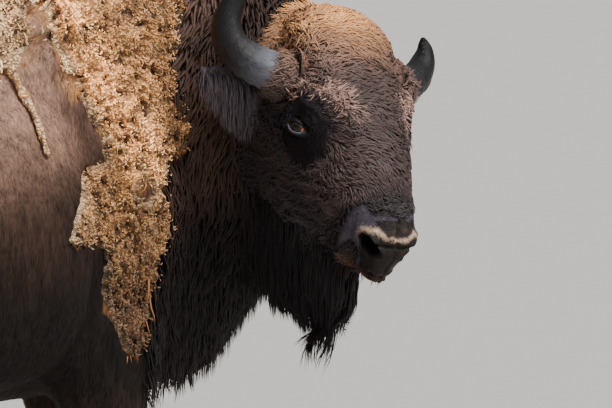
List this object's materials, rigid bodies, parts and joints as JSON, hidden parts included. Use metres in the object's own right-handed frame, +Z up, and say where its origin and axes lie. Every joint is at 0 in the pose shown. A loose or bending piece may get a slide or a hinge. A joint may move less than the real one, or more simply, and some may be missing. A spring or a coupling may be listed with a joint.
{
  "type": "wisent bull",
  "caption": "Life-size European bison bull standing on four cloven hooves and looking back over its right shoulder, in moulting coat.",
  "frame": {"origin": "middle of the animal's box, on the floor under the four hooves", "axes": "+X towards the chest along the trunk, +Y to the animal's left, +Z up"},
  "size_m": [2.4008, 1.1256, 1.796],
  "materials": {
    "body_coat": "short grey-brown coat with shedding golden wool",
    "mane": "dark brown curly hair, golden on the crown",
    "long_black_hair": "long straight black hair",
    "leg_coat": "short dark brown coat",
    "horn": "grey-black keratin, rough and paler at the base",
    "hoof": "dark keratin",
    "eye": "dark wet eyeball"
  },
  "bodies": {
    "root": {"head": "mane", "beard": "long_black_hair", "neck": "mane", "thorax": "body_coat", "abdomen": "body_coat", "hindquarters": "body_coat", "tail": "body_coat", "tail_tuft": "long_black_hair", "ear_right": "mane", "ear_left": "mane", "eye_right": "eye", "eye_left": "eye", "horn_right": "horn", "horn_left": "horn", "foreleg_right_upper": "body_coat", "foreleg_right_lower": "leg_coat", "foreleg_right_claw_outer": "hoof", "foreleg_right_claw_inner": "hoof", "foreleg_right_dewclaw_outer": "hoof", "foreleg_right_dewclaw_inner": "hoof", "foreleg_left_upper": "body_coat", "foreleg_left_lower": "leg_coat", "foreleg_left_claw_outer": "hoof", "foreleg_left_claw_inner": "hoof", "foreleg_left_dewclaw_outer": "hoof", "foreleg_left_dewclaw_inner": "hoof", "hindleg_right_upper": "body_coat", "hindleg_right_lower": "leg_coat", "hindleg_right_claw_outer": "hoof", "hindleg_right_claw_inner": "hoof", "hindleg_right_dewclaw_outer": "hoof", "hindleg_right_dewclaw_inner": "hoof", "hindleg_left_upper": "body_coat", "hindleg_left_lower": "leg_coat", "hindleg_left_claw_outer": "hoof", "hindleg_left_claw_inner": "hoof", "hindleg_left_dewclaw_outer": "hoof", "hindleg_left_dewclaw_inner": "hoof"}
  },
  "joints": []
}
